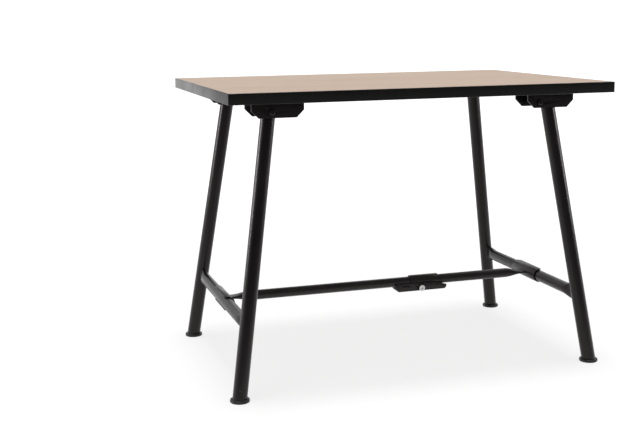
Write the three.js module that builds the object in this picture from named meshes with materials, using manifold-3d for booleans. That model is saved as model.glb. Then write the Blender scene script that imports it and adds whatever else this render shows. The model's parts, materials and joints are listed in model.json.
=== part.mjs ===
// Folding workbench: a plywood worktop on two splayed tube frames that fold under it,
// kept apart by a strut with a catch in the middle.
// Millimetres, +Z up. X runs along the bench, Y across it.
// The origin is on the floor under the middle of the worktop.

import * as THREE from 'three';
import { mergeVertices } from 'three/addons/utils/BufferGeometryUtils.js';
import Module from 'manifold-3d';

const wasm = await Module();
wasm.setup();

// Worktop
const TOP_LENGTH = 1080;
const TOP_WIDTH = 740;
const BENCH_HEIGHT = 803;
const PLY_THICKNESS = 26;
const SURFACE_THICKNESS = 3;
const EDGE_THICKNESS = 3;
const EDGE_CHAMFER = 0.8;

// Gaps between pieces that are welded, seated or free to turn
const WELD_GAP = 0.3;
const TURN_GAP = 0.5;

// Legs and feet: the splay is how far a foot stands outside the top of its leg
const LEG_DIAMETER = 39;
const LEG_WALL = 2.5;
const LEG_SPLAY_X = 109.5;
const LEG_SPLAY_Y = 74.3;
const FOOT_INSET_X = 25.5;
const FOOT_INSET_Y = 55.7;
const FOOT_DIAMETER = 52;
const FOOT_THICKNESS = 8;
const FOOT_RIM_RADIUS = 3;
const FOOT_EDGE = 1;
const FOOT_PLUG_LENGTH = 24;

// Crossbars between the two legs of a frame, with their ends pressed flat against the legs
const CROSSBAR_DIAMETER = 33;
const CROSSBAR_WALL = 2.5;
const CROSSBAR_HEIGHT = 196;
const CROSSBAR_END_HEIGHT = 45;
const CROSSBAR_END_THICKNESS = 13;
const CROSSBAR_END_LENGTH = 26; // from the leg's axis
const CROSSBAR_TAPER = 40;

// Leg brackets: channels screwed to the underside, open downwards
const BRACKET_LENGTH = 141;
const BRACKET_WIDTH = 75;
const BRACKET_DEPTH = 44;
const BRACKET_STEEL = 4;
const BRACKET_CHAMFER = 20;
const LEFT_BRACKET_REACH = 55; // from the top of the leg out to the bracket's end
const RIGHT_BRACKET_REACH = 62;
const SCREW_INSET = 12;
const SCREW_SPACING = 46;
const SCREW_DIAMETER = 5;
const SCREW_LENGTH = 18;
const SCREW_HEAD_DIAMETER = 10;
const SCREW_HEAD_HEIGHT = 3;
const SCREW_CROWN_DIAMETER = 6; // the flat on top of the head

// Pivot pins through the bracket cheeks, with a push-on retainer at the plain end
const PIVOT_DEPTH = 28; // below the underside
const PIN_DIAMETER = 12;
const PIN_STAND_OUT = 6;
const PIN_HEAD_DIAMETER = 17;
const PIN_HEAD_HEIGHT = 4;
const PIN_CROWN_DIAMETER = 11.9; // the flat on top of the head
const PIN_CHAMFER = 1;
const RETAINER_DIAMETER = 19;
const RETAINER_THICKNESS = 2;
const SPACER_DIAMETER = 20;

// The right frame hangs on channel-shaped heads that set its pivot inward of the legs,
// so that its legs fold down over those of the left frame
const HEAD_OFFSET = 42;
const HEAD_STEEL = 5;
const HEAD_LIP = 3;
const HEAD_REACH = 19;
const HEAD_SKIRT = 14;
const HEAD_EAR_RADIUS = 12;

// Strut between the crossbars; its middle stands to the right of the bench's middle
const STRUT_DIAMETER = 28;
const STRUT_WALL = 2.5;
const STRUT_MIDDLE_X = 118;
const TONGUE_WIDTH = 33;
const TONGUE_THICKNESS = 8;
const TONGUE_LENGTH = 32;
const TONGUE_TAPER = 46;
const SCARF_ANGLE = THREE.MathUtils.degToRad(60);
const SCARF_GAP = 1.2;

// Saddles: channels that wrap each crossbar from the inside
const SADDLE_LENGTH = 142;
const SADDLE_STEEL = 3;
const SADDLE_FLANGE = 9;
const SADDLE_CHAMFER = 8;

// Catch in the middle of the strut, measured from its bolt
const SLEEVE_LENGTH = 88;
const SLEEVE_SHIFT = 13; // how far the sleeve's middle stands to the right of the bolt
const SLEEVE_STEEL = 3;
const SLEEVE_SKIRT = 1;
const SLEEVE_GAP = 0.8; // the left half of the strut slips out of the sleeve
const CRADLE_LENGTH = 166;
const CRADLE_STEEL = 3.5;
const CRADLE_DROP = 27; // from the strut's axis to the cradle's lowest face
const CRADLE_RIM = 3; // how far the open rim lies below the strut's axis
const CRADLE_SLOPE = 11; // fall of the rim at its free end, which the right crossbar swings past
const CRADLE_SLOPE_START = 40;
const CRADLE_CHAMFER = 11;
const CRADLE_CORNER = 6;
const CRADLE_SLOT_HEIGHT = 2.5;
const CRADLE_SLOT_DROP = 11;
const CRADLE_SLOTS = [[-48, 26], [-10, 15], [52, 12]]; // middle and length of each slot
const CATCH_BOLT_DIAMETER = 6;
const CATCH_BOLT_DROP = 18;
const CATCH_BOLT_STAND_OUT = 2; // past the nut
const CATCH_HEAD_DIAMETER = 18;
const CATCH_HEAD_HEIGHT = 5;
const CATCH_SOCKET_DIAMETER = 7;
const CATCH_SOCKET_DEPTH = 3;
const CATCH_NUT_DIAMETER = 13;
const CATCH_NUT_HEIGHT = 5;
const LEVER_LENGTH = 46;
const LEVER_STEEL = 3;
const LEVER_ROOT_RADIUS = 8;
const LEVER_RISE = 16;
const LEVER_CORNER = 4;

// Facets round a tube, a tube with pressed ends, a pin and a small fastener
const TUBE_SEGMENTS = 32;
const LOFT_SEGMENTS = 24;
const PIN_SEGMENTS = 20;
const SCREW_SEGMENTS = 8;

// Roundness of the edges where a tube is pressed flat
const FLAT_ROUNDNESS = 0.5;

// Places that follow from the sizes above
const UNDERSIDE_Z = BENCH_HEIGHT - SURFACE_THICKNESS - PLY_THICKNESS;
const PIVOT_Z = UNDERSIDE_Z - PIVOT_DEPTH;
const FOOT_X = TOP_LENGTH / 2 - FOOT_INSET_X;
const FOOT_Y = TOP_WIDTH / 2 - FOOT_INSET_Y;
const LEG_TOP_X = FOOT_X - LEG_SPLAY_X;
const LEG_TOP_Y = FOOT_Y - LEG_SPLAY_Y;
const CROSSBAR_X = legPoint(1, CROSSBAR_HEIGHT).x;
const STRUT_RADIUS = STRUT_DIAMETER / 2;
const SADDLE_INNER = CROSSBAR_DIAMETER / 2 + TURN_GAP;
const SADDLE_OUTER = SADDLE_INNER + SADDLE_STEEL;
const FAR = TOP_LENGTH + TOP_WIDTH + BENCH_HEIGHT; // longer than any cut needs

const materials = {
  surface: finish(0xcdb9a4, 0.6, 0),
  plywood: finish(0xdecdb9, 0.75, 0),
  edging: finish(0x141414, 0.45, 0),
  coated: finish(0x1a1a1c, 0.4, 0.3),
  rubber: finish(0x161616, 0.8, 0),
  zinc: finish(0xb9babb, 0.35, 0.9),
};

function finish(color, roughness, metalness) {
  return new THREE.MeshStandardMaterial({ color, roughness, metalness });
}

// The middle of a leg at a height; side is the sign of Y. Right-hand frame, +X outwards.
function legPoint(side, z) {
  const drop = (PIVOT_Z - z) / PIVOT_Z;
  return new THREE.Vector3(LEG_TOP_X + LEG_SPLAY_X * drop, side * (LEG_TOP_Y + LEG_SPLAY_Y * drop), z);
}

// A closed three.js geometry as a solid that can be cut and joined.
function solid(geometry) {
  const bare = geometry.clone();
  bare.deleteAttribute('normal');
  bare.deleteAttribute('uv');
  const merged = mergeVertices(bare, 1e-4);
  return new wasm.Manifold(new wasm.Mesh({
    numProp: 3,
    vertProperties: new Float32Array(merged.attributes.position.array),
    triVerts: new Uint32Array(merged.index.array),
  }));
}

function geometryOf(shape) {
  const mesh = shape.getMesh();
  const geometry = new THREE.BufferGeometry();
  geometry.setAttribute('position', new THREE.BufferAttribute(new Float32Array(mesh.vertProperties), 3));
  geometry.setIndex(new THREE.BufferAttribute(new Uint32Array(mesh.triVerts), 1));
  const flat = geometry.toNonIndexed();
  flat.computeVertexNormals();
  return flat;
}

function addPiece(parent, name, shape, material) {
  const mesh = new THREE.Mesh(geometryOf(shape), material);
  mesh.name = name;
  parent.add(mesh);
  return mesh;
}

function box(from, to) {
  const size = new THREE.Vector3().subVectors(to, from);
  const middle = new THREE.Vector3().addVectors(from, to).multiplyScalar(0.5);
  return solid(new THREE.BoxGeometry(size.x, size.y, size.z).translate(middle.x, middle.y, middle.z));
}

function vec(x, y, z) {
  return new THREE.Vector3(x, y, z);
}

// A solid rod between two points; with six segments it is a hexagon.
function rod(from, to, diameter, segments = TUBE_SEGMENTS) {
  const along = new THREE.Vector3().subVectors(to, from);
  const geometry = new THREE.CylinderGeometry(diameter / 2, diameter / 2, along.length(), segments);
  const turn = new THREE.Quaternion().setFromUnitVectors(vec(0, 1, 0), along.clone().normalize());
  const middle = new THREE.Vector3().addVectors(from, to).multiplyScalar(0.5);
  geometry.applyMatrix4(new THREE.Matrix4().compose(middle, turn, vec(1, 1, 1)));
  return solid(geometry);
}

// An open-ended tube between two points.
function tube(from, to, diameter, wall, segments = TUBE_SEGMENTS) {
  const past = new THREE.Vector3().subVectors(to, from).normalize();
  const bore = rod(from.clone().sub(past), to.clone().add(past), diameter - 2 * wall, segments);
  return rod(from, to, diameter, segments).subtract(bore);
}

// A pin along Y, as used for every pivot and hole across the bench.
function crossRod(x, z, fromY, toY, diameter, segments = PIN_SEGMENTS) {
  return rod(vec(x, fromY, z), vec(x, toY, z), diameter, segments);
}

// A profile drawn in X and Z, given thickness along Y and centred on Y = 0.
function extrudeAcross(shape, thickness, curveSegments = 12) {
  const geometry = new THREE.ExtrudeGeometry(shape, { depth: thickness, bevelEnabled: false, curveSegments });
  return solid(geometry.rotateX(Math.PI / 2).translate(0, thickness / 2, 0));
}

// A profile drawn in Y and Z, given length along X and centred on X = 0.
function extrudeAlong(shape, length, curveSegments = 12) {
  const geometry = new THREE.ExtrudeGeometry(shape, { depth: length, bevelEnabled: false, curveSegments });
  const turn = new THREE.Matrix4().makeBasis(vec(0, 1, 0), vec(0, 0, 1), vec(1, 0, 0));
  return solid(geometry.applyMatrix4(turn).translate(-length / 2, 0, 0));
}

function polygon(points) {
  return new THREE.Shape(points.map(([x, y]) => new THREE.Vector2(x, y)));
}

// A piece turned about the Y axis; the profile runs from the axis back to the axis.
function turned(points, segments) {
  const profile = points.map(([radius, y]) => new THREE.Vector2(radius, y));
  return new THREE.LatheGeometry(profile, segments);
}

function turnedUpright(points, segments) {
  return solid(turned(points, segments).rotateX(Math.PI / 2));
}

// Worktop: plywood panel, work surface sheet and four edge strips
function buildWorktop() {
  const group = new THREE.Group();
  const innerX = TOP_LENGTH / 2 - EDGE_THICKNESS;
  const innerY = TOP_WIDTH / 2 - EDGE_THICKNESS;
  const plyTop = UNDERSIDE_Z + PLY_THICKNESS;
  let panel = box(vec(-innerX, -innerY, UNDERSIDE_Z), vec(innerX, innerY, plyTop));
  for (const place of bracketPlaces()) {
    for (const [x, y] of screwPlaces(place)) {
      const hole = rod(
        vec(x, y, UNDERSIDE_Z - SCREW_LENGTH),
        vec(x, y, UNDERSIDE_Z + SCREW_LENGTH + WELD_GAP),
        SCREW_DIAMETER + 2 * WELD_GAP,
        SCREW_SEGMENTS,
      );
      panel = panel.subtract(hole);
    }
  }
  addPiece(group, 'top_panel', panel, materials.plywood);
  const sheet = box(vec(-innerX, -innerY, plyTop), vec(innerX, innerY, BENCH_HEIGHT));
  addPiece(group, 'work_surface', sheet, materials.surface);
  for (const [name, turn, length, reach] of [
    ['front_edge_strip', 0, TOP_LENGTH, TOP_WIDTH / 2],
    ['rear_edge_strip', Math.PI, TOP_LENGTH, TOP_WIDTH / 2],
    ['left_edge_strip', -Math.PI / 2, TOP_WIDTH - 2 * (EDGE_THICKNESS + WELD_GAP), TOP_LENGTH / 2],
    ['right_edge_strip', Math.PI / 2, TOP_WIDTH - 2 * (EDGE_THICKNESS + WELD_GAP), TOP_LENGTH / 2],
  ]) {
    const strip = addPiece(group, name, edgeStrip(length, reach), materials.edging);
    strip.rotation.z = turn;
  }
  return group;
}

// A strip along X whose outer face lies at Y = -reach, with its two outer edges chamfered.
function edgeStrip(length, reach) {
  const outer = -reach;
  const inner = -reach + EDGE_THICKNESS - WELD_GAP;
  return extrudeAlong(polygon([
    [inner, UNDERSIDE_Z],
    [inner, BENCH_HEIGHT],
    [outer + EDGE_CHAMFER, BENCH_HEIGHT],
    [outer, BENCH_HEIGHT - EDGE_CHAMFER],
    [outer, UNDERSIDE_Z + EDGE_CHAMFER],
    [outer + EDGE_CHAMFER, UNDERSIDE_Z],
  ].reverse()), length);
}

// The four brackets: end is the sign of X, side the sign of Y
function bracketPlaces() {
  return [-1, 1].flatMap((end) => [-1, 1].map((side) => {
    const outerX = LEG_TOP_X + (end < 0 ? LEFT_BRACKET_REACH : RIGHT_BRACKET_REACH);
    return {
      end,
      side,
      name: `${end < 0 ? 'left' : 'right'}_${side < 0 ? 'front' : 'rear'}`,
      outerX,
      innerX: outerX - BRACKET_LENGTH,
      pivotX: end < 0 ? LEG_TOP_X : LEG_TOP_X - HEAD_OFFSET,
    };
  }));
}

function screwPlaces({ end, side, outerX, innerX }) {
  return [outerX - SCREW_INSET, innerX + SCREW_INSET].flatMap((x) => [-1, 1].map((across) => [
    end * x,
    side * LEG_TOP_Y + (across * SCREW_SPACING) / 2,
  ]));
}

// A bracket with its screws, pivot pin and retainer
function buildBracket(place) {
  const { end, side, name, outerX, innerX, pivotX } = place;
  const group = new THREE.Group();
  const bottom = UNDERSIDE_Z - BRACKET_DEPTH;
  const y = side * LEG_TOP_Y;
  const cheek = polygon([
    [innerX, UNDERSIDE_Z],
    [innerX, bottom + BRACKET_CHAMFER],
    [innerX + BRACKET_CHAMFER, bottom],
    [outerX - BRACKET_CHAMFER, bottom],
    [outerX, bottom + BRACKET_CHAMFER],
    [outerX, UNDERSIDE_Z],
  ].map(([x, z]) => [end * x, z]));
  const inside = BRACKET_WIDTH / 2 - BRACKET_STEEL;
  let shape = extrudeAcross(cheek, BRACKET_WIDTH)
    .subtract(box(vec(-FAR, -inside, -FAR), vec(FAR, inside, UNDERSIDE_Z - BRACKET_STEEL)))
    .subtract(crossRod(end * pivotX, PIVOT_Z, -BRACKET_WIDTH, BRACKET_WIDTH, PIN_DIAMETER + 2 * WELD_GAP));
  for (const [x, screwY] of screwPlaces(place)) {
    shape = shape.subtract(rod(
      vec(x, screwY - y, UNDERSIDE_Z - 2 * BRACKET_STEEL),
      vec(x, screwY - y, UNDERSIDE_Z + BRACKET_STEEL),
      SCREW_DIAMETER + 2 * WELD_GAP,
      SCREW_SEGMENTS,
    ));
  }
  addPiece(group, `${name}_bracket`, shape, materials.coated).position.y = y;

  screwPlaces(place).forEach(([x, screwY], index) => {
    const screw = addPiece(group, `${name}_bracket_screw_${index + 1}`, bracketScrew(), materials.zinc);
    screw.position.set(x, screwY, UNDERSIDE_Z - BRACKET_STEEL);
  });

  const pin = addPiece(group, `${name}_pivot_pin`, pivotPin(), materials.coated);
  pin.position.set(end * pivotX, y, PIVOT_Z);
  pin.rotation.z = side < 0 ? 0 : Math.PI;
  const retainer = addPiece(group, `${name}_pin_retainer`, pinRetainer(), materials.coated);
  retainer.position.copy(pin.position);
  retainer.rotation.copy(pin.rotation);
  return group;
}

// A pan-head screw whose head seats at Z = 0 and whose shank points up
function bracketScrew() {
  const head = SCREW_HEAD_DIAMETER / 2;
  const shank = SCREW_DIAMETER / 2;
  const length = BRACKET_STEEL + SCREW_LENGTH;
  return turnedUpright([
    [0, -SCREW_HEAD_HEIGHT - WELD_GAP],
    [SCREW_CROWN_DIAMETER / 2, -SCREW_HEAD_HEIGHT - WELD_GAP],
    [head, -SCREW_HEAD_HEIGHT / 2 - WELD_GAP],
    [head, -WELD_GAP],
    [shank, -WELD_GAP],
    [shank, length - SCREW_DIAMETER],
    [0, length - WELD_GAP],
  ], SCREW_SEGMENTS);
}

// A pivot pin along Y with its domed head outside the bracket, at negative Y
function pivotPin() {
  const cheek = BRACKET_WIDTH / 2 + WELD_GAP;
  const shank = PIN_DIAMETER / 2;
  const head = PIN_HEAD_DIAMETER / 2;
  const tip = cheek + PIN_STAND_OUT;
  return solid(turned([
    [0, -cheek - PIN_HEAD_HEIGHT],
    [PIN_CROWN_DIAMETER / 2, -cheek - PIN_HEAD_HEIGHT],
    [head, -cheek - PIN_HEAD_HEIGHT / 2],
    [head, -cheek],
    [shank, -cheek],
    [shank, tip - PIN_CHAMFER],
    [shank - PIN_CHAMFER, tip],
    [0, tip],
  ], PIN_SEGMENTS));
}

// A push-on ring on the plain end of a pivot pin
function pinRetainer() {
  const from = BRACKET_WIDTH / 2 + WELD_GAP;
  const to = from + RETAINER_THICKNESS;
  return tube(
    vec(0, from, 0),
    vec(0, to, 0),
    RETAINER_DIAMETER,
    (RETAINER_DIAMETER - PIN_DIAMETER) / 2 - WELD_GAP,
    PIN_SEGMENTS,
  );
}

// A leg frame, drawn with +X outwards; the left one is turned half round about Z
function buildFrame(end) {
  const group = new THREE.Group();
  group.rotation.z = end < 0 ? Math.PI : 0;
  const sideName = (side) => `${end < 0 ? 'left' : 'right'}_${side * end < 0 ? 'front' : 'rear'}`;
  for (const side of [-1, 1]) {
    addPiece(group, `${sideName(side)}_leg`, end < 0 ? pinnedLeg(side) : headedLeg(side), materials.coated);
    const pad = addPiece(group, `${sideName(side)}_foot`, foot(side), materials.rubber);
    pad.position.copy(legPoint(side, FOOT_THICKNESS));
    if (end < 0) {
      for (const across of [-1, 1]) {
        const place = across * side < 0 ? 'inner' : 'outer';
        addPiece(group, `${sideName(side)}_${place}_spacer`, pivotSpacer(side, across), materials.zinc);
      }
    } else {
      const head = addPiece(group, `${sideName(side)}_leg_head`, legHead(), materials.coated);
      head.position.set(LEG_TOP_X - HEAD_OFFSET, side * LEG_TOP_Y, PIVOT_Z);
    }
  }
  addPiece(group, `${end < 0 ? 'left' : 'right'}_crossbar`, crossbar(), materials.coated);
  return group;
}

// A leg tube cut level at both ends
function legTube(side, topZ) {
  const bottomZ = FOOT_THICKNESS + WELD_GAP;
  const from = legPoint(side, topZ + LEG_DIAMETER);
  const to = legPoint(side, bottomZ - LEG_DIAMETER);
  return tube(from, to, LEG_DIAMETER, LEG_WALL)
    .intersect(box(vec(-FAR, -FAR, bottomZ), vec(FAR, FAR, topZ)));
}

// A left leg turns on a pin through its own axis. Its top bears on the bracket on the outer side
// and is rounded about the pin on the inner side, so that it can swing inwards.
function pinnedLeg(side) {
  const topZ = UNDERSIDE_Z - BRACKET_STEEL - WELD_GAP;
  const swing = PIVOT_DEPTH - BRACKET_STEEL - 2 * TURN_GAP;
  const corner = box(vec(-FAR, -FAR, PIVOT_Z), vec(LEG_TOP_X, FAR, FAR))
    .subtract(crossRod(LEG_TOP_X, PIVOT_Z, -FAR, FAR, 2 * swing, 2 * TUBE_SEGMENTS));
  return legTube(side, topZ)
    .subtract(corner)
    .subtract(crossRod(LEG_TOP_X, PIVOT_Z, -FAR, FAR, PIN_DIAMETER + 2 * WELD_GAP));
}

// A right leg ends under the plate of its head
function headedLeg(side) {
  return legTube(side, headTop() - HEAD_STEEL - WELD_GAP);
}

function headTop() {
  return UNDERSIDE_Z - BRACKET_STEEL - TURN_GAP;
}

// A channel-shaped head, drawn about its pin: a plate that bears on the bracket and two ears
function legHead() {
  const rise = headTop() - PIVOT_Z;
  const outer = HEAD_OFFSET + HEAD_REACH;
  const earStart = THREE.MathUtils.degToRad(-70);
  const ear = new THREE.Shape();
  ear.moveTo(-HEAD_LIP, rise);
  ear.lineTo(-HEAD_EAR_RADIUS, 0);
  ear.absarc(0, 0, HEAD_EAR_RADIUS, Math.PI, 2 * Math.PI + earStart, false);
  ear.lineTo(outer, rise - HEAD_SKIRT);
  ear.lineTo(outer, rise);
  const width = BRACKET_WIDTH - 2 * (BRACKET_STEEL + TURN_GAP);
  const inside = width / 2 - HEAD_STEEL;
  return extrudeAcross(ear, width)
    .subtract(box(vec(-FAR, -inside, -FAR), vec(FAR, inside, rise - HEAD_STEEL)))
    .subtract(crossRod(0, 0, -FAR, FAR, PIN_DIAMETER + 2 * WELD_GAP));
}

// A tube on the pivot pin that centres a left leg between the bracket cheeks
function pivotSpacer(side, across) {
  const middle = side * LEG_TOP_Y;
  const cheek = BRACKET_WIDTH / 2 - BRACKET_STEEL - WELD_GAP;
  const wall = (SPACER_DIAMETER - PIN_DIAMETER) / 2 - WELD_GAP;
  const leg = rod(legPoint(side, UNDERSIDE_Z), legPoint(side, 0), LEG_DIAMETER + 2 * WELD_GAP);
  return tube(
    vec(LEG_TOP_X, middle, PIVOT_Z),
    vec(LEG_TOP_X, middle + across * cheek, PIVOT_Z),
    SPACER_DIAMETER,
    wall,
    PIN_SEGMENTS,
  ).subtract(leg);
}

// A flanged foot, drawn about the middle of its upper face: a level disc and a plug up inside the leg
function foot(side) {
  const radius = FOOT_DIAMETER / 2;
  const arc = [0, 30, 60, 90].map((degrees) => THREE.MathUtils.degToRad(degrees));
  const rim = arc.map((angle) => [
    radius - FOOT_RIM_RADIUS * (1 - Math.cos(angle)),
    -FOOT_RIM_RADIUS * (1 - Math.sin(angle)),
  ]);
  const disc = turnedUpright([
    [0, -FOOT_THICKNESS],
    [radius - FOOT_EDGE, -FOOT_THICKNESS],
    [radius, FOOT_EDGE - FOOT_THICKNESS],
    ...rim,
    [0, 0],
  ], TUBE_SEGMENTS);
  const middle = legPoint(side, FOOT_THICKNESS);
  const plug = rod(
    legPoint(side, 0).sub(middle),
    legPoint(side, FOOT_THICKNESS + FOOT_PLUG_LENGTH).sub(middle),
    LEG_DIAMETER - 2 * (LEG_WALL + WELD_GAP),
    PIN_SEGMENTS,
  );
  return disc.add(plug.intersect(box(vec(-FAR, -FAR, -FOOT_THICKNESS / 2), vec(FAR, FAR, FAR))));
}

// A closed body along X through rings, each given by its place, its half width (Y),
// its half height (Z) and its roundness: 1 is an ellipse, less is squarer
function lofted(rings) {
  const sides = LOFT_SEGMENTS;
  const points = [];
  for (const { x, halfWidth, halfHeight, roundness } of rings) {
    for (let side = 0; side < sides; side += 1) {
      const angle = (2 * Math.PI * side) / sides;
      const across = Math.cos(angle);
      const up = Math.sin(angle);
      points.push(
        x,
        halfWidth * Math.sign(across) * Math.abs(across) ** roundness,
        halfHeight * Math.sign(up) * Math.abs(up) ** roundness,
      );
    }
  }
  points.push(rings[0].x, 0, 0, rings[rings.length - 1].x, 0, 0);
  const startMiddle = rings.length * sides;
  const lastRing = (rings.length - 1) * sides;
  const faces = [];
  for (let side = 0; side < sides; side += 1) {
    const next = (side + 1) % sides;
    for (let ring = 0; ring < rings.length - 1; ring += 1) {
      const near = ring * sides;
      const far = near + sides;
      faces.push(near + side, far + next, far + side, near + side, near + next, far + next);
    }
    faces.push(startMiddle, next, side, startMiddle + 1, lastRing + side, lastRing + next);
  }
  const geometry = new THREE.BufferGeometry();
  geometry.setAttribute('position', new THREE.Float32BufferAttribute(points, 3));
  geometry.setIndex(faces);
  return geometry;
}

// Rings of a tube end pressed flat: flat from X = 0 and round from X = length + taper
function pressedRings({ width, height, length, taper, diameter, inset }) {
  const steps = 4;
  const places = [0];
  for (let step = 0; step <= steps; step += 1) {
    places.push(length + (taper * step) / steps);
  }
  return places.map((x) => {
    const round = THREE.MathUtils.smoothstep(x, length, length + taper);
    return {
      x,
      halfWidth: THREE.MathUtils.lerp(width, diameter, round) / 2 - inset,
      halfHeight: THREE.MathUtils.lerp(height, diameter, round) / 2 - inset,
      roundness: THREE.MathUtils.lerp(FLAT_ROUNDNESS, 1, round),
    };
  });
}

// A crossbar whose ends are pressed flat and coped to the two legs
function crossbar() {
  let bar = crossbarSkin(0).subtract(crossbarSkin(CROSSBAR_WALL));
  for (const side of [-1, 1]) {
    bar = bar.subtract(rod(legPoint(side, UNDERSIDE_Z), legPoint(side, 0), LEG_DIAMETER + 2 * WELD_GAP));
  }
  return bar;
}

// The crossbar's outside, or its inside when inset by the wall
function crossbarSkin(inset) {
  const reach = legPoint(1, CROSSBAR_HEIGHT).y;
  const rings = pressedRings({
    width: CROSSBAR_END_THICKNESS,
    height: CROSSBAR_END_HEIGHT,
    length: CROSSBAR_END_LENGTH,
    taper: CROSSBAR_TAPER,
    diameter: CROSSBAR_DIAMETER,
    inset,
  });
  const front = rings.map((ring) => ({ ...ring, x: ring.x - reach }));
  const rear = rings.map((ring) => ({ ...ring, x: reach - ring.x })).reverse();
  const geometry = lofted([...front, ...rear]).rotateZ(Math.PI / 2);
  return solid(geometry.translate(CROSSBAR_X, 0, CROSSBAR_HEIGHT));
}

// The strut, drawn about its middle; each half hangs on its own crossbar by a saddle
function buildStrut() {
  const group = new THREE.Group();
  group.position.set(STRUT_MIDDLE_X, 0, CROSSBAR_HEIGHT);
  for (const end of [-1, 1]) {
    const sideName = end < 0 ? 'left' : 'right';
    const half = new THREE.Group();
    half.position.x = end * CROSSBAR_X - STRUT_MIDDLE_X;
    half.rotation.z = end < 0 ? 0 : Math.PI;
    addPiece(half, `${sideName}_strut_tube`, strutHalf(end), materials.coated);
    addPiece(half, `${sideName}_saddle`, saddle(), materials.coated);
    group.add(half);
  }
  addPiece(group, 'catch_sleeve', catchSleeve(), materials.coated).position.x = SLEEVE_SHIFT;
  addPiece(group, 'catch_cradle', catchCradle(), materials.coated);
  const lever = addPiece(group, 'catch_lever', catchLever(), materials.coated);
  lever.position.set(0, -cradleFace() - LEVER_STEEL / 2, -CATCH_BOLT_DROP);
  addPiece(group, 'catch_bolt', catchBolt(), materials.zinc).position.z = -CATCH_BOLT_DROP;
  addPiece(group, 'catch_nut', catchNut(), materials.zinc).position.z = -CATCH_BOLT_DROP;
  return group;
}

// One half of the strut, drawn from its crossbar's axis towards the middle along +X:
// coped to the saddle and cut on the slope of the joint
function strutHalf(end) {
  const reach = CROSSBAR_X + (end < 0 ? STRUT_MIDDLE_X : -STRUT_MIDDLE_X);
  const lean = end < 0 ? Math.PI / 2 - SCARF_ANGLE : SCARF_ANGLE - Math.PI / 2;
  const cut = new THREE.BoxGeometry(FAR, FAR, FAR)
    .translate(0, 0, (-end * (FAR - SCARF_GAP)) / 2)
    .rotateY(lean)
    .translate(reach, 0, 0);
  return strutTube(reach + 2 * STRUT_DIAMETER)
    .subtract(crossRod(0, 0, -FAR, FAR, 2 * (SADDLE_OUTER + WELD_GAP), TUBE_SEGMENTS))
    .subtract(solid(cut));
}

// A tube along +X whose start, at X = 0, is pressed flat into a tongue
function strutTube(length) {
  const rings = pressedRings({
    width: TONGUE_WIDTH,
    height: TONGUE_THICKNESS,
    length: TONGUE_LENGTH,
    taper: TONGUE_TAPER,
    diameter: STRUT_DIAMETER,
    inset: 0,
  });
  const last = rings[rings.length - 1];
  const bore = rod(vec(last.x, 0, 0), vec(FAR, 0, 0), STRUT_DIAMETER - 2 * STRUT_WALL, LOFT_SEGMENTS);
  return solid(lofted([...rings, { ...last, x: length }])).subtract(bore);
}

// A saddle round a crossbar on the Y axis, open towards -X, with the flange corners cut off
function saddle() {
  const shape = new THREE.Shape();
  shape.moveTo(-SADDLE_FLANGE, -SADDLE_INNER);
  shape.lineTo(-SADDLE_FLANGE, -SADDLE_OUTER);
  shape.lineTo(0, -SADDLE_OUTER);
  shape.absarc(0, 0, SADDLE_OUTER, -Math.PI / 2, Math.PI / 2, false);
  shape.lineTo(-SADDLE_FLANGE, SADDLE_OUTER);
  shape.lineTo(-SADDLE_FLANGE, SADDLE_INNER);
  shape.lineTo(0, SADDLE_INNER);
  shape.absarc(0, 0, SADDLE_INNER, Math.PI / 2, -Math.PI / 2, true);
  const end = SADDLE_LENGTH / 2;
  const plan = polygon([
    [-SADDLE_FLANGE, SADDLE_CHAMFER - end],
    [SADDLE_CHAMFER - SADDLE_FLANGE, -end],
    [2 * SADDLE_OUTER, -end],
    [2 * SADDLE_OUTER, end],
    [SADDLE_CHAMFER - SADDLE_FLANGE, end],
    [-SADDLE_FLANGE, end - SADDLE_CHAMFER],
  ]);
  const height = 4 * SADDLE_OUTER;
  const outline = new THREE.ExtrudeGeometry(plan, { depth: height, bevelEnabled: false });
  return extrudeAcross(shape, SADDLE_LENGTH + SADDLE_STEEL)
    .intersect(solid(outline.translate(0, 0, -height / 2)));
}

// An arched sleeve over the joint of the strut, open downwards
function catchSleeve() {
  const inner = STRUT_RADIUS + SLEEVE_GAP;
  const outer = inner + SLEEVE_STEEL;
  const shape = new THREE.Shape();
  shape.moveTo(outer, -SLEEVE_SKIRT);
  shape.lineTo(outer, 0);
  shape.absarc(0, 0, outer, 0, Math.PI, false);
  shape.lineTo(-outer, -SLEEVE_SKIRT);
  shape.lineTo(-inner, -SLEEVE_SKIRT);
  shape.lineTo(-inner, 0);
  shape.absarc(0, 0, inner, Math.PI, 0, true);
  shape.lineTo(inner, -SLEEVE_SKIRT);
  return extrudeAlong(shape, SLEEVE_LENGTH, TUBE_SEGMENTS / 2);
}

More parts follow.
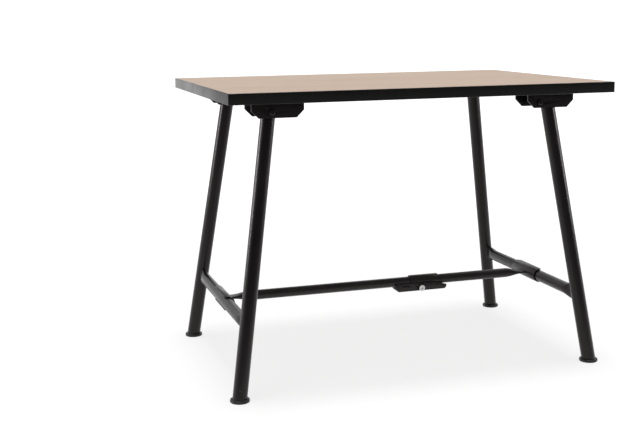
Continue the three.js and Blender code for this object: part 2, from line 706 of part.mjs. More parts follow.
// A channel under the joint, open upwards, that holds the left half of the strut
function catchCradle() {
  const half = CRADLE_LENGTH / 2;
  const inside = STRUT_RADIUS + WELD_GAP;
  const side = polygon([
    [-half, -CRADLE_RIM],
    [-half, CRADLE_CHAMFER - CRADLE_DROP],
    [CRADLE_CHAMFER - half, -CRADLE_DROP],
    [half - CRADLE_CORNER, -CRADLE_DROP],
    [half, CRADLE_CORNER - CRADLE_DROP],
    [half, -CRADLE_RIM - CRADLE_SLOPE],
    [CRADLE_SLOPE_START, -CRADLE_RIM],
  ]);
  let cradle = extrudeAcross(side, 2 * (inside + CRADLE_STEEL))
    .subtract(box(vec(-FAR, -inside, CRADLE_STEEL - CRADLE_DROP), vec(FAR, inside, FAR)))
    .subtract(crossRod(0, -CATCH_BOLT_DROP, -FAR, FAR, CATCH_BOLT_DIAMETER + 2 * WELD_GAP));
  for (const [middle, length] of CRADLE_SLOTS) {
    cradle = cradle.subtract(box(
      vec(middle - length / 2, -FAR, -CRADLE_SLOT_DROP - CRADLE_SLOT_HEIGHT / 2),
      vec(middle + length / 2, FAR, -CRADLE_SLOT_DROP + CRADLE_SLOT_HEIGHT / 2),
    ));
  }
  return cradle;
}

// Where the lever and the nut seat: clear of the cradle's outer face
function cradleFace() {
  return STRUT_RADIUS + WELD_GAP + CRADLE_STEEL + TURN_GAP;
}

// A lift lever on the front of the cradle, turning on the bolt at its left end
function catchLever() {
  const shape = new THREE.Shape();
  shape.moveTo(0, -LEVER_ROOT_RADIUS);
  shape.lineTo(LEVER_LENGTH - LEVER_CORNER, -LEVER_ROOT_RADIUS);
  shape.lineTo(LEVER_LENGTH, LEVER_CORNER - LEVER_ROOT_RADIUS);
  shape.lineTo(LEVER_LENGTH, LEVER_RISE - LEVER_CORNER);
  shape.lineTo(LEVER_LENGTH - LEVER_CORNER, LEVER_RISE);
  shape.lineTo(LEVER_ROOT_RADIUS, LEVER_RISE);
  shape.lineTo(0, LEVER_ROOT_RADIUS);
  shape.absarc(0, 0, LEVER_ROOT_RADIUS, Math.PI / 2, 1.5 * Math.PI, false);
  return extrudeAcross(shape, LEVER_STEEL)
    .subtract(crossRod(0, 0, -FAR, FAR, CATCH_BOLT_DIAMETER + 2 * WELD_GAP));
}

// The silver socket-head bolt on which the lever turns
function catchBolt() {
  const seat = -cradleFace() - LEVER_STEEL - WELD_GAP;
  const face = seat - CATCH_HEAD_HEIGHT;
  const tip = cradleFace() + CATCH_NUT_HEIGHT + CATCH_BOLT_STAND_OUT;
  return crossRod(0, 0, face, seat, CATCH_HEAD_DIAMETER)
    .add(crossRod(0, 0, face + CATCH_SOCKET_DEPTH + WELD_GAP, tip, CATCH_BOLT_DIAMETER))
    .subtract(crossRod(0, 0, face - 1, face + CATCH_SOCKET_DEPTH, CATCH_SOCKET_DIAMETER, 6));
}

function catchNut() {
  const from = cradleFace();
  return crossRod(0, 0, from, from + CATCH_NUT_HEIGHT, CATCH_NUT_DIAMETER, 6)
    .subtract(crossRod(0, 0, -FAR, FAR, CATCH_BOLT_DIAMETER + 2 * WELD_GAP));
}

const workbench = new THREE.Group();
workbench.name = 'folding_workbench';
workbench.add(buildWorktop());
for (const place of bracketPlaces()) {
  workbench.add(buildBracket(place));
}
for (const end of [-1, 1]) {
  workbench.add(buildFrame(end));
}
workbench.add(buildStrut());

export default workbench;
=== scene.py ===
"""Looks for the folding workbench: a beige worktop with black edging on black coated steel tube."""

import json
import math

import bmesh
import bpy
from mathutils import Matrix, Vector


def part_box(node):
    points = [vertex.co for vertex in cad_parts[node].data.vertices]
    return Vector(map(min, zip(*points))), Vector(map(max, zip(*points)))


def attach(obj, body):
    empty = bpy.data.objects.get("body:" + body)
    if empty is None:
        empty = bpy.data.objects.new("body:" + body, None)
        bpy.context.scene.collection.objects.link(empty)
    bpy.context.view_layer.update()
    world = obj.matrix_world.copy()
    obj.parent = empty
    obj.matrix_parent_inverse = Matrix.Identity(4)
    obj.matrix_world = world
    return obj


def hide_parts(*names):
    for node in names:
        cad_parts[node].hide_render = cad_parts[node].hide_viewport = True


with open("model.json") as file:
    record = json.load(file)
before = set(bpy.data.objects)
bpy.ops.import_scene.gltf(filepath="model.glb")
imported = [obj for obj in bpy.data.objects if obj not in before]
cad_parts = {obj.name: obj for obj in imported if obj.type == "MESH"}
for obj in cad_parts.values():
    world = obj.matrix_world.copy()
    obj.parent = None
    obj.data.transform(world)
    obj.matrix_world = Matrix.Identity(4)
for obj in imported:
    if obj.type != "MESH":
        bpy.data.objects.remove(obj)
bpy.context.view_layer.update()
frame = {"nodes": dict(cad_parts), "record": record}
nodes = frame["nodes"]
MM = 0.001


# Sizes repeated from the solids, in metres
UNDERSIDE_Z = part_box("top_panel")[0].z
PIVOT_Z = UNDERSIDE_Z - 28 * MM
LEG_TOP = Vector((0.405, 0.240, PIVOT_Z))
LEG_FOOT = Vector((0.5145, 0.3143, 0.0))
LEG_RADIUS = 19.5 * MM
CROSSBAR_Z = 0.196
PRESSED_HALF_DEPTH = 6.5 * MM  # of the crossbars' pressed ends
PRESSED_HALF_HEIGHT = 22.5 * MM
PRESSED_POWER = 0.5  # below 1 their outline is fuller than an ellipse

# Sizes of the added pieces
WELD_RADIUS = 2.2 * MM
WELD_STEPS = 64
WELD_SIDES = 8
WELD_RIPPLE = 0.1  # share of the radius
WELD_RIPPLE_TURN = 2.2  # radians from one step to the next
RIVET_Z = 32 * MM
RIVET_TURN = 0.25  # how far the rivets look towards the ends of the bench
RIVET_SIDES = 20
RIVET_PROFILE = ((3.6, -1.2), (3.6, 0.1), (3.1, 0.7), (2.1, 1.15), (0.9, 1.35))  # radius and rise, mm
SCREW_SIDES = 48
SCREW_PROFILE = (  # radius and height over the head's face, mm, from the tip of the shank
    (2.5, 11.0), (2.5, 3.0), (4.95, 3.0), (5.0, 2.0), (4.7, 0.9), (3.9, 0.3), (3.0, 0.05),
)
SCREW_RECESS = ((2.4, 0.62, 0.0), (1.5, 0.45, 1.8))  # arm, half width and depth of the cross, mm
SCREW_TWIST = 0.7  # radians; with the letters of a screw's name it turns each cross differently

# Finish of the edges
MERGE_DISTANCE = 0.002 * MM
SHARP_ANGLE = math.radians(32)
ROUNDED_ANGLE = math.radians(40)
ROUNDED_STEPS = 2
ROUNDING = {
    "_bracket": 0.8 * MM,
    "_leg_head": 0.8 * MM,
    "_edge_strip": 0.4 * MM,
    "catch_cradle": 0.6 * MM,
    "catch_sleeve": 0.6 * MM,
    "catch_lever": 0.6 * MM,
    "_saddle": 0.6 * MM,
}

# Floor and room, in metres and shares of white
FLOOR_HALF = 30.0
FLOOR_DROP = 0.5 * MM
FLOOR_GREY = 0.24
FLOOR_GLOW = 0.78  # light of the floor's own near the object
FLOOR_WHITENS = (0.7, 3.0)  # distance from the middle over which it turns white
FLOOR_FRONT = (-1.5, -0.5)  # y over which its reflection rises from dim to white
ROOM_FRONT = (-0.6, 0.4)  # the same for the room, as the y of a direction
FRONT_DIM = 0.12  # reflections of the floor and room in front of the object
WORLD_LIGHT = 0.42
BACKDROP = 1.2  # seen by the camera alone, so that it comes out white

# Lamps
OVERHEAD_STRENGTH = 1.75
OVERHEAD_WIDTH = math.radians(14)
FILL_PLACE = (-3.2, -2.0, 2.2)
FILL_TARGET = (0.0, 0.0, 0.5)
FILL_SIZE = 2.4
FILL_POWER = 22.0
STRIP_SIZE = (0.45, 1.2)  # width and height
STRIPS = {  # place and power
    "left_strip": ((-2.5, 0.70, 1.05), 34.0),
    "right_strip": ((2.5, -1.0, 1.05), 26.0),
}

# Camera
SENSOR_WIDTH = 36.0  # mm
IMAGE_WIDTH = 640.0  # pixels
FOCAL_PIXELS = 1082.3
SHIFT_PIXELS = 50.0  # the photograph's upright lines ask for some lens shift
CAMERA_PLACE = (-1.117, -2.952, 0.990)
CAMERA_ANGLES = (-17.42, 7.89, -0.58)  # azimuth, elevation and roll in degrees
CAMERA_REACH = (0.05, 200.0)


def corners():
    """Name, end of the bench and signs of x and y for each of the four legs."""
    for end, x in (("left", -1), ("right", 1)):
        for side, y in (("front", -1), ("rear", 1)):
            yield f"{end}_{side}", end, x, y


def leg_point(x, y, z):
    """The middle of a leg at a height; x and y are the signs of its corner."""
    drop = (PIVOT_Z - z) / PIVOT_Z
    p = LEG_TOP.lerp(LEG_FOOT, drop)
    return Vector((x * p.x, y * p.y, z))


def leg_axis(x, y):
    """The upward direction of a leg."""
    return (leg_point(x, y, PIVOT_Z) - leg_point(x, y, 0.0)).normalized()


def turns(count):
    """Evenly spaced angles once round."""
    return [2 * math.pi * k / count for k in range(count)]


def add_object(name, data):
    obj = bpy.data.objects.new(name, data)
    bpy.context.scene.collection.objects.link(obj)
    return obj


def plug(tree, socket, value):
    """Links a node's output to a socket, or sets the socket to a plain value."""
    if isinstance(value, bpy.types.NodeSocket):
        tree.links.new(value, socket)
    else:
        socket.default_value = value


def map_range(given, wanted):
    """Inputs of a node that turns a given range into the wanted one."""
    return {"From Min": given[0], "From Max": given[1], "To Min": wanted[0], "To Max": wanted[1]}


# Materials


EVEN = (1.0, 1.0, 1.0)


class Tree:
    """A material's node tree with short helpers."""

    def __init__(self, name):
        self.material = bpy.data.materials.new(name)
        self.material.use_nodes = True
        self.tree = self.material.node_tree
        self.shader = self.tree.nodes["Principled BSDF"]

    def node(self, kind, inputs, **settings):
        made = self.tree.nodes.new(kind)
        for key, value in settings.items():
            setattr(made, key, value)
        for key, value in inputs.items():
            plug(self.tree, made.inputs[key], value)
        return made

    def coords(self, scale):
        """Object coordinates in metres, stretched by a scale for each axis."""
        place = self.node("ShaderNodeTexCoord", {}).outputs["Object"]
        return self.node("ShaderNodeMapping", {"Vector": place, "Scale": scale}).outputs["Vector"]

    def noise(self, scale, size, detail=3.0, rough=0.5, distortion=0.0):
        """Soft noise from 0 to 1; a larger size gives finer noise."""
        where = self.coords(scale)
        return self.node(
            "ShaderNodeTexNoise",
            {"Vector": where, "Scale": size, "Detail": detail, "Roughness": rough, "Distortion": distortion},
        ).outputs["Fac"]

    def spread(self, value, given, wanted):
        """A value's given range stretched to the wanted one, and held at its ends."""
        inputs = {"Value": value, **map_range(given, wanted)}
        return self.node("ShaderNodeMapRange", inputs).outputs["Result"]

    def ramp(self, value, stops):
        """Colours that follow a value; each stop has a place and a colour."""
        made = self.node("ShaderNodeValToRGB", {"Fac": value})
        ramp = made.color_ramp
        while len(ramp.elements) < len(stops):
            ramp.elements.new(0.5)
        for element, (place, colour) in zip(ramp.elements, stops):
            element.position = place
            element.color = (*colour, 1.0)
        return made.outputs["Color"]

    def mix(self, factor, a, b):
        """A colour between a and b."""
        made = self.node("ShaderNodeMix", {}, data_type="RGBA")
        for socket, value in ((0, factor), (6, a), (7, b)):
            plug(self.tree, made.inputs[socket], value)
        return made.outputs[2]

    def math(self, operation, *values):
        return self.node("ShaderNodeMath", dict(enumerate(values)), operation=operation).outputs[0]

    def bump(self, height, strength, distance, **normal):
        """A normal from a height; another bump may come in as Normal."""
        inputs = {"Height": height, "Strength": strength, "Distance": distance, **normal}
        return self.node("ShaderNodeBump", inputs).outputs["Normal"]

    def shade(self, cloud, dark, light):
        """A colour that clouds from dark to light."""
        return self.ramp(cloud, [(0.3, dark), (0.75, light)])

    def gloss(self, cloud, low, high):
        """A roughness that clouds from low to high."""
        return self.spread(cloud, (0.3, 0.7), (low, high))

    def set(self, **sockets):
        """Fills the shader's sockets and returns the material."""
        for name, value in sockets.items():
            plug(self.tree, self.shader.inputs[name.replace("_", " ")], value)
        return self.material


def coated_steel(name, dark, light):
    """Black powder coat: a fine orange peel and faint clouds in its shade and gloss."""
    t = Tree(name)
    peel = t.noise(EVEN, size=900.0, detail=2.0)
    cloud = t.noise(EVEN, size=9.0, detail=4.0, rough=0.6)
    return t.set(
        Base_Color=t.shade(cloud, dark, light),
        Roughness=t.gloss(cloud, low=0.25, high=0.36),
        Normal=t.bump(peel, strength=0.2, distance=0.4 * MM),
        Specular_IOR_Level=0.27,
        Specular_Tint=(1.0, 0.88, 0.89, 1.0),
    )


def edging():
    """Smooth black plastic edge strip with faint lengthwise drawing lines."""
    t = Tree("edging")
    lines = t.noise((1.0, 1.0, 60.0), size=30.0)
    cloud = t.noise(EVEN, size=14.0)
    return t.set(
        Base_Color=t.shade(cloud, dark=(0.0034, 0.0029, 0.0025), light=(0.0058, 0.0049, 0.0043)),
        Roughness=t.gloss(cloud, low=0.26, high=0.36),
        Normal=t.bump(lines, strength=0.08, distance=0.4 * MM),
        Specular_IOR_Level=0.36,
    )


def rubber():
    """Matt black rubber with a fine moulded grain."""
    t = Tree("feet")
    grain = t.noise(EVEN, size=700.0, detail=2.0)
    cloud = t.noise(EVEN, size=40.0)
    return t.set(
        Base_Color=t.shade(cloud, dark=(0.009, 0.009, 0.009), light=(0.017, 0.016, 0.016)),
        Roughness=t.gloss(cloud, low=0.42, high=0.58),
        Normal=t.bump(grain, strength=0.18, distance=0.5 * MM),
    )


def zinc():
    """Bright zinc plate with fine turning marks and a slight yellow and blue bloom."""
    t = Tree("zinc_steel")
    cloud = t.noise(EVEN, size=120.0)
    marks = t.noise((1.0, 40.0, 1.0), size=160.0, detail=2.0)
    return t.set(
        Base_Color=t.ramp(cloud, [(0.3, (0.52, 0.53, 0.55)), (0.7, (0.62, 0.61, 0.58))]),
        Metallic=0.95,
        Roughness=t.gloss(cloud, low=0.24, high=0.38),
        Normal=t.bump(marks, strength=0.08, distance=0.3 * MM),
    )


def dark_steel():
    """Shadowed oil-black fastener steel."""
    t = Tree("dark_steel")
    cloud = t.noise(EVEN, size=160.0)
    return t.set(
        Base_Color=t.shade(cloud, dark=(0.02, 0.02, 0.021), light=(0.04, 0.039, 0.039)),
        Metallic=0.7,
        Roughness=t.gloss(cloud, low=0.35, high=0.5),
    )


def weld():
    """Coated weld bead: the same black, rippled and a little rougher."""
    t = Tree("weld_bead")
    ripple = t.noise(EVEN, size=420.0)
    cloud = t.noise(EVEN, size=60.0)
    return t.set(
        Base_Color=t.shade(cloud, dark=(0.009, 0.0085, 0.0085), light=(0.017, 0.016, 0.016)),
        Roughness=t.gloss(cloud, low=0.36, high=0.5),
        Normal=t.bump(ripple, strength=0.35, distance=0.8 * MM),
    )


def work_surface():
    """Beige work surface: lengthwise veneer grain under a matt seal, with fine fibre flecks."""
    t = Tree("work_surface")
    broad = t.noise((0.7, 5.0, 1.0), size=2.2, detail=4.0, rough=0.55, distortion=0.6)
    grain = t.noise((2.0, 55.0, 1.0), size=9.0, detail=5.0, rough=0.6, distortion=0.2)
    fleck = t.noise((40.0, 260.0, 1.0), size=6.0, detail=2.0)
    base = t.ramp(
        broad,
        [(0.3, (0.490, 0.366, 0.278)), (0.52, (0.540, 0.409, 0.315)), (0.75, (0.580, 0.448, 0.350))],
    )
    lined = t.mix(t.spread(grain, (0.35, 0.7), (0.0, 0.62)), base, (0.43, 0.312, 0.228, 1.0))
    flecks = t.bump(fleck, strength=0.08, distance=0.3 * MM)
    return t.set(
        Base_Color=t.mix(t.spread(fleck, (0.62, 0.8), (0.0, 0.3)), lined, (0.40, 0.28, 0.20, 1.0)),
        Roughness=t.gloss(grain, low=0.5, high=0.62),
        Normal=t.bump(grain, strength=0.1, distance=0.6 * MM, Normal=flecks),
        Specular_IOR_Level=0.35,
    )


# Knots of the plywood; their sizes are shares of a cell
KNOT_CELLS = (3.0, 3.0, 1.0)  # to a metre; a cell has one knot or none
KNOTLESS = 0.4  # share of the cells without a knot
KNOT_RAGGED = 0.012
KNOT_EDGE = (0.055, 0.085)  # from its colour to the veneer's
KNOT_PULL = (0.05, 0.35)  # from growth bands that bend round it to straight ones
KNOT_RINGS = [
    (0.0, (0.26, 0.14, 0.07)),
    (0.018, (0.52, 0.35, 0.21)),
    (0.04, (0.64, 0.47, 0.32)),
    (0.06, (0.53, 0.35, 0.21)),
]
BANDS = 34.0  # radians of the growth bands for each unit of their course
BAND_COLOURS = [(0.0, (0.745, 0.625, 0.500)), (0.6, (0.735, 0.612, 0.487)), (1.0, (0.692, 0.562, 0.437))]


def plywood():
    """Bare pine veneer along the panel: faint growth bands that bend round a few knots."""
    t = Tree("plywood")
    cells = t.node(
        "ShaderNodeTexVoronoi",
        {"Vector": t.coords(KNOT_CELLS), "Scale": 1.0, "Randomness": 1.0},
        feature="F1",
        voronoi_dimensions="2D",
    )
    ragged = t.spread(t.noise(EVEN, size=60.0), (0.0, 1.0), (-KNOT_RAGGED, KNOT_RAGGED))
    distance = t.math("ADD", cells.outputs["Distance"], ragged)
    draw = t.node("ShaderNodeSeparateColor", {"Color": cells.outputs["Color"]}).outputs["Red"]
    here = t.math("GREATER_THAN", draw, KNOTLESS)
    pull = t.math("MULTIPLY", t.spread(distance, KNOT_PULL, (1.1, 0.0)), here)
    inside = t.math("MULTIPLY", t.spread(distance, KNOT_EDGE, (0.85, 0.0)), here)

    place = t.node("ShaderNodeSeparateXYZ", {"Vector": t.coords((1.0, 5.0, 1.0))})
    wander = t.noise((0.9, 3.5, 1.0), size=2.0, rough=0.5, distortion=0.4)
    course = t.math("ADD", place.outputs["Y"], t.math("MULTIPLY", wander, 2.6))
    rings = t.math("SINE", t.math("MULTIPLY", t.math("ADD", course, pull), BANDS))
    fibre = t.noise((2.0, 120.0, 1.0), size=8.0, detail=4.0, rough=0.6)
    cloud = t.noise((1.0, 3.0, 1.0), size=3.0)

    bands = t.ramp(t.spread(rings, (-1.0, 1.0), (0.0, 1.0)), BAND_COLOURS)
    clouded = t.mix(t.spread(cloud, (0.45, 0.75), (0.0, 0.5)), bands, (0.690, 0.555, 0.430, 1.0))
    fibred = t.mix(t.spread(fibre, (0.4, 0.75), (0.0, 0.35)), clouded, (0.78, 0.67, 0.55, 1.0))
    return t.set(
        Base_Color=t.mix(inside, fibred, t.ramp(distance, KNOT_RINGS)),
        Roughness=t.gloss(fibre, low=0.62, high=0.78),
        Normal=t.bump(fibre, strength=0.15, distance=0.6 * MM),
        Specular_IOR_Level=0.3,
    )


MATERIALS = {
    "coated_steel": coated_steel("coated_steel", (0.0068, 0.0060, 0.0063), (0.0108, 0.0096, 0.0100)),
    "edging": edging(),
    "feet": rubber(),
    "zinc_steel": zinc(),
    "work_surface": work_surface(),
    "plywood": plywood(),
}
WELD = weld()
DARK = dark_steel()
# A lighter copy of the black coat for the strut tubes and the catch: painted light, standing in for the
# light that falls on their fronts
PAINTED_LIGHT_COAT = coated_steel("painted_light_coat", (0.024, 0.0212, 0.0218), (0.034, 0.0302, 0.0310))
PAINTED_LIGHT_PARTS = ("left_strut_tube", "right_strut_tube", "catch_sleeve", "catch_cradle", "catch_lever")


# Finish of the solids: merged, rounded at the edges and shaded by angle


def smooth_group():
    """Geometry nodes that shade faces smooth and keep edges over the sharp angle sharp."""
    group = bpy.data.node_groups.new("smooth_by_angle", "GeometryNodeTree")
    for side in ("INPUT", "OUTPUT"):
        group.interface.new_socket("Geometry", in_out=side, socket_type="NodeSocketGeometry")
    make = group.nodes.new
    start = make("NodeGroupInput")
    end = make("NodeGroupOutput")
    faces = make("GeometryNodeSetShadeSmooth")
    faces.domain = "FACE"
    edges = make("GeometryNodeSetShadeSmooth")
    edges.domain = "EDGE"
    angle = make("GeometryNodeInputMeshEdgeAngle")
    compare = make("FunctionNodeCompare")
    compare.operation = "LESS_THAN"
    compare.inputs[1].default_value = SHARP_ANGLE
    link = group.links.new
    link(start.outputs[0], faces.inputs[0])
    link(faces.outputs[0], edges.inputs[0])
    link(angle.outputs[0], compare.inputs[0])
    link(compare.outputs[0], edges.inputs["Shade Smooth"])
    link(edges.outputs[0], end.inputs[0])
    return group


SMOOTH = smooth_group()


def soften(obj, width):
    """Welds the split corners, rounds the edges by a width, if any, and shades by angle."""
    merge = obj.modifiers.new("merge", "WELD")
    merge.merge_threshold = MERGE_DISTANCE
    if width:
        bevel = obj.modifiers.new("round", "BEVEL")
        bevel.width = width
        bevel.segments = ROUNDED_STEPS
        bevel.limit_method = "ANGLE"
        bevel.angle_limit = ROUNDED_ANGLE
    obj.modifiers.new("shade", "NODES").node_group = SMOOTH


for row in frame["record"]["subparts"]:
    node = row["node"]
    obj = nodes[node]
    obj.data.materials.clear()
    # The strut and catch parts take the lighter coat, whose extra brightness is painted light
    obj.data.materials.append(PAINTED_LIGHT_COAT if node in PAINTED_LIGHT_PARTS else MATERIALS[row["material_slot"]])
    soften(obj, next((width for end, width in ROUNDING.items() if node.endswith(end)), 0.0))


# Added pieces


def add_mesh(name, bm, body, material):
    """A piece from a finished mesh, riding on a body."""
    mesh = bpy.data.meshes.new(name)
    bmesh.ops.recalc_face_normals(bm, faces=bm.faces)
    for face in bm.faces:
        face.smooth = True
    bm.to_mesh(mesh)
    bm.free()
    mesh.materials.append(material)
    obj = add_object(name, mesh)
    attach(obj, body)
    obj.modifiers.new("shade", "NODES").node_group = SMOOTH
    return obj


def loft(rings, closed):
    """A mesh between rings of points: closed into a loop, or with its two ends capped."""
    bm = bmesh.new()
    made = [[bm.verts.new(p) for p in ring] for ring in rings]
    count = len(made[0])
    pairs = list(zip(made, made[1:]))
    if closed:
        pairs.append((made[-1], made[0]))
    for a, b in pairs:
        for i in range(count):
            j = (i + 1) % count
            bm.faces.new((a[i], a[j], b[j], b[i]))
    if not closed:
        bm.faces.new(made[0])
        bm.faces.new(made[-1])
    return bm


def weld_bead(points, outward):
    """A closed weld bead along a loop of points, rippled by its own steps."""
    count = len(points)
    rings = []
    for i, p in enumerate(points):
        along = (points[(i + 1) % count] - points[i - 1]).normalized()
        out = outward[i] - along * outward[i].dot(along)
        out.normalize()
        across = along.cross(out)
        r = WELD_RADIUS * (1.0 + WELD_RIPPLE * math.sin(i * WELD_RIPPLE_TURN))
        rings.append([
            p + out * (r * math.cos(turn)) + across * (r * math.sin(turn))
            for turn in turns(WELD_SIDES)
        ])
    return loft(rings, closed=True)


def pressed_end(turn):
    """A point on the outline of a crossbar's pressed end, about its middle."""
    c, s = math.cos(turn), math.sin(turn)
    return Vector((
        math.copysign(PRESSED_HALF_DEPTH * abs(c) ** PRESSED_POWER, c),
        0.0,
        math.copysign(PRESSED_HALF_HEIGHT * abs(s) ** PRESSED_POWER, s),
    ))


def onto_leg(off, axis, inward):
    """The step along y that brings a point inside a leg onto its surface.

    off is the point from the leg's middle, and inward is the sign of the step.
    """
    step = Vector((0.0, inward, 0.0))
    across = off - axis * off.dot(axis)
    step_across = step - axis * step.dot(axis)
    a = step_across.length_squared
    b = across.dot(step_across)
    c = across.length_squared - LEG_RADIUS ** 2
    return step * ((math.sqrt(b * b - a * c) - b) / a)


def crossbar_welds():
    """A weld bead where each crossbar meets its legs."""
    for name, end, x, y in corners():
        middle = leg_point(x, y, CROSSBAR_Z)
        axis = leg_axis(x, y)
        outward = [pressed_end(turn) for turn in turns(WELD_STEPS)]
        points = [middle + off + onto_leg(off, axis, -y) for off in outward]
        bm = weld_bead(points, outward)
        add_mesh(f"{name}_crossbar_weld", bm, f"{end}_frame", WELD)


def leg_rivets():
    """A small domed rivet near the foot of each leg, on its outer side."""
    for name, end, x, y in corners():
        centre = leg_point(x, y, RIVET_Z)
        axis = leg_axis(x, y)
        out = Vector((RIVET_TURN * x, y, 0.0))
        out = (out - axis * out.dot(axis)).normalized()
        side = axis.cross(out)
        rings = []
        for radius, rise in RIVET_PROFILE:
            middle = centre + out * (LEG_RADIUS + rise * MM)
            rings.append([
                middle + (axis * math.cos(turn) + side * math.sin(turn)) * (radius * MM)
                for turn in turns(RIVET_SIDES)
            ])
        bm = loft(rings, closed=False)
        add_mesh(f"{name}_leg_rivet", bm, f"{end}_frame", DARK)


def plus_radius(turn, arm, half):
    """Distance from the middle to the outline of a plus sign in a direction."""
    tiny = 1e-6
    c = max(abs(math.cos(turn)), tiny)
    s = max(abs(math.sin(turn)), tiny)
    return max(min(arm / c, half / s), min(half / c, arm / s))


def level_ring(centre, rise, radius):
    """A level ring of points over a centre; radius gives the distance in mm at an angle."""
    return [
        centre + Vector((radius(turn) * math.cos(turn), radius(turn) * math.sin(turn), rise)) * MM
        for turn in turns(SCREW_SIDES)
    ]


def bracket_screws():
    """Pan heads with a cross recess in place of the plain screw heads."""
    for name in nodes:
        if "_bracket_screw_" not in name:
            continue
        low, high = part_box(name)
        face = Vector(((low.x + high.x) / 2, (low.y + high.y) / 2, low.z))
        twist = (sum(map(ord, name)) * SCREW_TWIST) % math.pi
        rings = [level_ring(face, rise, lambda turn: radius) for radius, rise in SCREW_PROFILE]
        rings += [
            level_ring(face, depth, lambda turn: plus_radius(turn - twist, arm, half))
            for arm, half, depth in SCREW_RECESS
        ]
        bm = loft(rings, closed=False)
        piece = add_mesh(f"{name}_head", bm, "top", MATERIALS["zinc_steel"])
        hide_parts(name)


crossbar_welds()
leg_rivets()
bracket_screws()


# Floor, light and camera


def fade(tree, value, given, wanted):
    """A value's given range turned smoothly into the wanted one."""
    node = tree.nodes.new("ShaderNodeMapRange")
    node.interpolation_type = "SMOOTHSTEP"
    for name, size in map_range(given, wanted).items():
        node.inputs[name].default_value = size
    tree.links.new(value, node.inputs["Value"])
    return node.outputs["Result"]


def strength_by_ray(tree, camera, mirrored, other):
    """One strength to the camera, one in reflections and through glass, one for lighting."""
    path = tree.nodes.new("ShaderNodeLightPath")
    strengths = {
        "Is Glossy Ray": mirrored,
        "Is Transmission Ray": mirrored,
        "Is Camera Ray": camera,
    }
    value = other
    for ray, strength in strengths.items():
        mix = tree.nodes.new("ShaderNodeMix")
        plug(tree, mix.inputs["Factor"], path.outputs[ray])
        plug(tree, mix.inputs["A"], value)
        plug(tree, mix.inputs["B"], strength)
        value = mix.outputs["Result"]
    return value


def stage_floor():
    """A pale floor that takes soft shadows near the object and is white further out."""
    mesh = bpy.data.meshes.new("floor")
    signs = ((-1, -1), (1, -1), (1, 1), (-1, 1))
    mesh.from_pydata([(x * FLOOR_HALF, y * FLOOR_HALF, 0) for x, y in signs], [], [(0, 1, 2, 3)])
    floor = add_object("floor", mesh)
    floor.location.z = -FLOOR_DROP
    material = bpy.data.materials.new("floor")
    material.use_nodes = True
    tree = material.node_tree
    tree.nodes.clear()
    make, link = tree.nodes.new, tree.links.new
    place = make("ShaderNodeTexCoord").outputs["Object"]
    distance = make("ShaderNodeVectorMath")
    distance.operation = "LENGTH"
    link(place, distance.inputs[0])
    along = make("ShaderNodeSeparateXYZ")
    link(place, along.inputs[0])
    own = fade(tree, distance.outputs["Value"], FLOOR_WHITENS, (FLOOR_GLOW, 1.0))
    mirrored = fade(tree, along.outputs["Y"], FLOOR_FRONT, (FRONT_DIM, 1.0))
    glow = make("ShaderNodeEmission")
    link(strength_by_ray(tree, own, mirrored, other=0.0), glow.inputs["Strength"])
    diffuse = make("ShaderNodeBsdfDiffuse")
    diffuse.inputs["Color"].default_value = (FLOOR_GREY, FLOOR_GREY, FLOOR_GREY, 1.0)
    add = make("ShaderNodeAddShader")
    out = make("ShaderNodeOutputMaterial")
    link(diffuse.outputs[0], add.inputs[0])
    link(glow.outputs[0], add.inputs[1])
    link(add.outputs[0], out.inputs["Surface"])
    mesh.materials.append(material)


def stage_world():
    """White behind and beside the object, dim in front of it, with a plain level of light on it."""
    world = bpy.data.worlds.new("studio")
    bpy.context.scene.world = world
    world.use_nodes = True
    tree = world.node_tree
    tree.nodes.clear()
    make, link = tree.nodes.new, tree.links.new
    along = make("ShaderNodeSeparateXYZ")
    link(make("ShaderNodeTexCoord").outputs["Generated"], along.inputs[0])
    mirrored = fade(tree, along.outputs["Y"], ROOM_FRONT, (FRONT_DIM, 1.0))
    sky = make("ShaderNodeBackground")
    sky.inputs["Color"].default_value = (1.0, 1.0, 1.0, 1.0)
    link(strength_by_ray(tree, BACKDROP, mirrored, WORLD_LIGHT), sky.inputs["Strength"])
    out = make("ShaderNodeOutputWorld")
    link(sky.outputs[0], out.inputs["Surface"])


def add_lamp(name, kind, strength):
    lamp = add_object(name, bpy.data.lights.new(name, kind))
    lamp.data.energy = strength
    return lamp


def aim(lamp, place, target):
    lamp.location = place
    lamp.rotation_euler = (Vector(target) - Vector(place)).to_track_quat("-Z", "Y").to_euler()


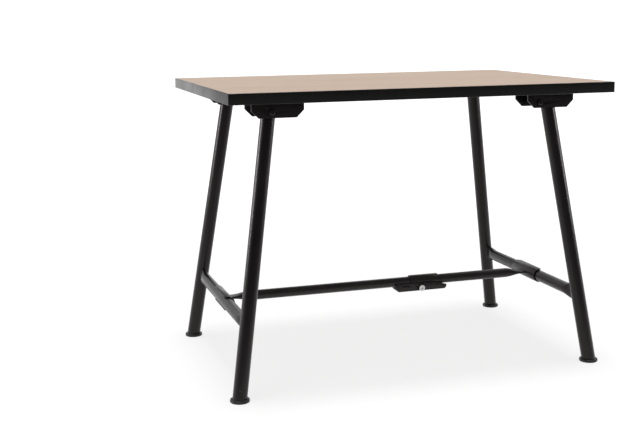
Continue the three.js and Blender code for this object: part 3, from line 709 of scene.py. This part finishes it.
def overhead_light():
    """A soft light from straight above."""
    lamp = add_lamp("overhead", "SUN", OVERHEAD_STRENGTH)
    lamp.data.angle = OVERHEAD_WIDTH


def left_fill():
    """A round soft lamp that lights surfaces without showing in their gloss."""
    lamp = add_lamp("left_fill", "AREA", FILL_POWER)
    lamp.data.shape = "DISK"
    lamp.data.size = FILL_SIZE
    lamp.visible_glossy = False
    aim(lamp, FILL_PLACE, FILL_TARGET)


def strip_lights():
    """Two tall narrow lamps beside the object, which show only in the gloss of the legs."""
    legs = bpy.data.collections.new("legs")
    for name, *_ in corners():
        legs.objects.link(nodes[f"{name}_leg"])
    for name, (place, power) in STRIPS.items():
        lamp = add_lamp(name, "AREA", power)
        lamp.data.shape = "RECTANGLE"
        lamp.data.size, lamp.data.size_y = STRIP_SIZE
        lamp.visible_camera = False
        lamp.visible_diffuse = False
        lamp.light_linking.receiver_collection = legs
        aim(lamp, place, (0.0, 0.0, place[2]))


def photo_camera():
    """The photograph's viewpoint, lens and lens shift."""
    data = bpy.data.cameras.new("photo_camera")
    data.sensor_width = SENSOR_WIDTH
    data.lens = SENSOR_WIDTH * FOCAL_PIXELS / IMAGE_WIDTH
    data.shift_y = -SHIFT_PIXELS / IMAGE_WIDTH
    data.clip_start, data.clip_end = CAMERA_REACH
    camera = add_object("photo_camera", data)
    azimuth, elevation, roll = (math.radians(a) for a in CAMERA_ANGLES)
    back = Vector((
        math.sin(azimuth) * math.cos(elevation),
        -math.cos(azimuth) * math.cos(elevation),
        math.sin(elevation),
    ))
    level = Vector((0, 0, 1)).cross(back).normalized()
    upright = back.cross(level)
    right = level * math.cos(roll) + upright * math.sin(roll)
    up = upright * math.cos(roll) - level * math.sin(roll)
    place = Matrix((right, up, back)).transposed().to_4x4()
    place.translation = Vector(CAMERA_PLACE)
    camera.matrix_world = place
    bpy.context.scene.camera = camera


stage_floor()
stage_world()
overhead_light()
left_fill()
strip_lights()
photo_camera()
bpy.context.scene.view_settings.view_transform = "Standard"

bpy.context.view_layer.update()
